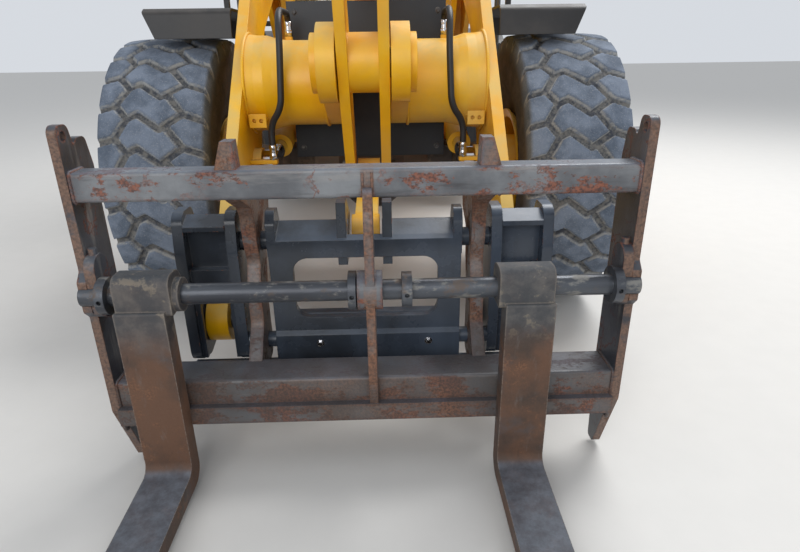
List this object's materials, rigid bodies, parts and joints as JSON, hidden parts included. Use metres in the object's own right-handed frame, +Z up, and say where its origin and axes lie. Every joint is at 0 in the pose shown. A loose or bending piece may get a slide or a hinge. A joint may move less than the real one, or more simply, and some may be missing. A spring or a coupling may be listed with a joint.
{
  "type": "wheel loader with quick coupler and pallet forks",
  "caption": "Articulated wheel loader with lift arms, bell crank, quick coupler and pallet forks on a frame, cab, engine hood and counterweight on four large tyres.",
  "frame": {"origin": "on the floor under the middle of the machine's box, with the forks low", "axes": "+Z up, the machine faces -Y, its left side is at +X"},
  "size_m": [2.585, 8.24, 3.2498],
  "materials": {
    "yellow_paint": "weathered semi-gloss",
    "dark_paint": "worn satin",
    "axle_iron": "dusty and rusty",
    "frame_steel": "chipped paint with rust",
    "rusty_steel": "rusted and rubbed",
    "pin_steel": "greasy",
    "chrome_rod": "polished",
    "tyre_rubber": "dusty",
    "window_glass": "clear",
    "seat_fabric": "woven",
    "black_plastic": "matte",
    "lamp_glass": "clear lens"
  },
  "bodies": {
    "rear_frame": {"rear_chassis": "yellow_paint", "rear_axle": "axle_iron", "counterweight": "dark_paint", "engine_block": "axle_iron", "engine_hood": "yellow_paint", "cab_shell": "yellow_paint", "cab_glass": "window_glass", "seat": "seat_fabric", "steering_console": "black_plastic", "rear_fenders": "dark_paint", "access_steps": "dark_paint", "handrails": "dark_paint", "exhaust_stack": "dark_paint", "air_intake": "dark_paint", "work_lamps": "lamp_glass", "mirrors": "dark_paint"},
    "front_frame": {"front_chassis": "yellow_paint", "front_axle": "axle_iron", "front_cover": "dark_paint", "front_mudguards": "dark_paint", "head_lamps": "lamp_glass"},
    "wheel_front_left": {"tyre_front_left": "tyre_rubber", "rim_front_left": "yellow_paint"},
    "wheel_front_right": {"tyre_front_right": "tyre_rubber", "rim_front_right": "yellow_paint"},
    "wheel_rear_left": {"tyre_rear_left": "tyre_rubber", "rim_rear_left": "yellow_paint"},
    "wheel_rear_right": {"tyre_rear_right": "tyre_rubber", "rim_rear_right": "yellow_paint"},
    "boom": {"lift_arms": "yellow_paint", "arm_hoses": "black_plastic"},
    "hinge_pins": {"hinge_pins": "pin_steel"},
    "fork_head": {"quick_coupler": "dark_paint", "fork_frame": "frame_steel", "fork_side_plates": "frame_steel", "fork_shaft": "rusty_steel"},
    "crank_pin": {"crank_pin": "pin_steel"},
    "bell_crank": {"bell_crank": "yellow_paint"},
    "link_pin": {"link_pin": "pin_steel"},
    "tilt_link": {"tilt_link": "yellow_paint"},
    "tilt_barrel": {"tilt_barrel": "yellow_paint"},
    "tilt_rod": {"tilt_rod": "chrome_rod"},
    "lift_barrels": {"lift_barrels": "yellow_paint"},
    "lift_rods": {"lift_rods": "chrome_rod"},
    "steering_barrel_left": {"steering_barrel_left": "dark_paint"},
    "steering_barrel_right": {"steering_barrel_right": "dark_paint"},
    "steering_rod_left": {"steering_rod_left": "chrome_rod"},
    "steering_rod_right": {"steering_rod_right": "chrome_rod"},
    "tine_left": {"tine_left": "rusty_steel"},
    "tine_right": {"tine_right": "rusty_steel"},
    "cab_door": {"cab_door": "yellow_paint", "cab_door_glass": "window_glass"},
    "hood_door_left": {"hood_door_left": "yellow_paint"},
    "hood_door_right": {"hood_door_right": "yellow_paint"},
    "rear_grille": {"rear_grille": "dark_paint"}
  },
  "joints": [
    {"name": "steer", "type": "hinge", "parent": "rear_frame", "child": "front_frame", "pos_m": [0, 0.755, 0.86], "axis": [0, 0, 1], "range_deg": [-38, 38]},
    {"name": "wheel_front_left_spin", "type": "hinge", "parent": "front_frame", "child": "wheel_front_left", "pos_m": [0, -0.76, 0.745], "axis": [1, 0, 0], "continuous": true},
    {"name": "wheel_front_right_spin", "type": "hinge", "parent": "front_frame", "child": "wheel_front_right", "pos_m": [0, -0.76, 0.745], "axis": [1, 0, 0], "continuous": true},
    {"name": "wheel_rear_left_spin", "type": "hinge", "parent": "rear_frame", "child": "wheel_rear_left", "pos_m": [0, 2.27, 0.745], "axis": [1, 0, 0], "continuous": true},
    {"name": "wheel_rear_right_spin", "type": "hinge", "parent": "rear_frame", "child": "wheel_rear_right", "pos_m": [0, 2.27, 0.745], "axis": [1, 0, 0], "continuous": true},
    {"name": "boom_lift", "type": "hinge", "parent": "front_frame", "child": "boom", "pos_m": [0, -0.16, 1.95], "axis": [-1, 0, 0], "range_deg": [0, 85]},
    {"name": "boom_level", "type": "hinge", "parent": "boom", "child": "hinge_pins", "pos_m": [0, -2.11, 0.43], "axis": [-1, 0, 0], "range_deg": [-86, 1]},
    {"name": "tool_tilt", "type": "hinge", "parent": "hinge_pins", "child": "fork_head", "pos_m": [0, -2.11, 0.43], "axis": [1, 0, 0], "range_deg": [-42, 45]},
    {"name": "crank_pin_turn", "type": "hinge", "parent": "boom", "child": "crank_pin", "pos_m": [0, -1.64, 1.37], "axis": [-1, 0, 0], "range_deg": [-1, 36.7]},
    {"name": "crank_turn", "type": "hinge", "parent": "crank_pin", "child": "bell_crank", "pos_m": [0, -1.64, 1.37], "axis": [-1, 0, 0], "range_deg": [-22.84, 24.4]},
    {"name": "link_pin_turn", "type": "hinge", "parent": "bell_crank", "child": "link_pin", "pos_m": [0, -1.37, 0.83], "axis": [-1, 0, 0], "range_deg": [-53.7, 1]},
    {"name": "link_turn", "type": "hinge", "parent": "link_pin", "child": "tilt_link", "pos_m": [0, -1.37, 0.83], "axis": [-1, 0, 0], "range_deg": [-14.5, 13.6]},
    {"name": "tilt_barrel_turn", "type": "hinge", "parent": "front_frame", "child": "tilt_barrel", "pos_m": [0, -0.485, 1.7], "axis": [-1, 0, 0], "range_deg": [-1, 94.5]},
    {"name": "tilt_rod_slide", "type": "slide", "parent": "tilt_barrel", "child": "tilt_rod", "axis": [0, -0.991, 0.134], "range_m": [-0.21, 0.2]},
    {"name": "lift_barrel_turn", "type": "hinge", "parent": "front_frame", "child": "lift_barrels", "pos_m": [0, 0.04, 1.15], "axis": [-1, 0, 0], "range_deg": [-1, 65.6]},
    {"name": "lift_rod_slide", "type": "slide", "parent": "lift_barrels", "child": "lift_rods", "axis": [0, -0.9842, -0.177], "range_m": [-0.01, 0.96]},
    {"name": "steering_barrel_left_turn", "type": "hinge", "parent": "rear_frame", "child": "steering_barrel_left", "pos_m": [0.42, 1.57, 0.86], "axis": [0, 0, 1], "range_deg": [-5, 5]},
    {"name": "steering_rod_left_slide", "type": "slide", "parent": "steering_barrel_left", "child": "steering_rod_left", "axis": [-0.0814, -0.9967, 0], "range_m": [-0.24, 0.24]},
    {"name": "steering_barrel_right_turn", "type": "hinge", "parent": "rear_frame", "child": "steering_barrel_right", "pos_m": [-0.42, 1.57, 0.86], "axis": [0, 0, 1], "range_deg": [-5, 5]},
    {"name": "steering_rod_right_slide", "type": "slide", "parent": "steering_barrel_right", "child": "steering_rod_right", "axis": [0.0814, -0.9967, 0], "range_m": [-0.24, 0.24]},
    {"name": "tine_left_slide", "type": "slide", "parent": "fork_head", "child": "tine_left", "axis": [1, 0, 0], "range_m": [-0.26, 0.17]},
    {"name": "tine_right_slide", "type": "slide", "parent": "fork_head", "child": "tine_right", "axis": [-1, 0, 0], "range_m": [-0.5, 0.025]},
    {"name": "cab_door_swing", "type": "hinge", "parent": "rear_frame", "child": "cab_door", "pos_m": [0.7, 1.4895, 2.31], "axis": [0, 0, 1], "range_deg": [0, 90]},
    {"name": "hood_door_left_swing", "type": "hinge", "parent": "rear_frame", "child": "hood_door_left", "pos_m": [0.62, 2.99, 2.0795], "axis": [0, -1, 0], "range_deg": [0, 70]},
    {"name": "hood_door_right_swing", "type": "hinge", "parent": "rear_frame", "child": "hood_door_right", "pos_m": [-0.62, 2.99, 2.0795], "axis": [0, 1, 0], "range_deg": [0, 70]},
    {"name": "rear_grille_swing", "type": "hinge", "parent": "rear_frame", "child": "rear_grille", "pos_m": [-0.4795, 3.84, 1.69], "axis": [0, 0, 1], "range_deg": [0, 100]}
  ],
  "couplings": [
    {"joint": "boom_level", "follows": "boom_lift", "ratio": -1},
    {"joint": "crank_pin_turn", "follows": "boom_lift", "ratio": 0.42},
    {"joint": "crank_turn", "follows": "tool_tilt", "ratio": 0.52},
    {"joint": "link_pin_turn", "follows": "boom_lift", "ratio": -0.62},
    {"joint": "link_turn", "follows": "tool_tilt", "ratio": -0.3},
    {"joint": "tilt_barrel_turn", "follows": "boom_lift", "ratio": 1.1},
    {"joint": "tilt_rod_slide", "follows": "tool_tilt", "m_per_rad": -0.255},
    {"joint": "lift_barrel_turn", "follows": "boom_lift", "ratio": 0.76},
    {"joint": "lift_rod_slide", "follows": "boom_lift", "m_per_rad": 0.64},
    {"joint": "steering_barrel_left_turn", "follows": "steer", "ratio": 0.1},
    {"joint": "steering_rod_left_slide", "follows": "steer", "m_per_rad": -0.339},
    {"joint": "steering_barrel_right_turn", "follows": "steer", "ratio": 0.1},
    {"joint": "steering_rod_right_slide", "follows": "steer", "m_per_rad": 0.339}
  ]
}
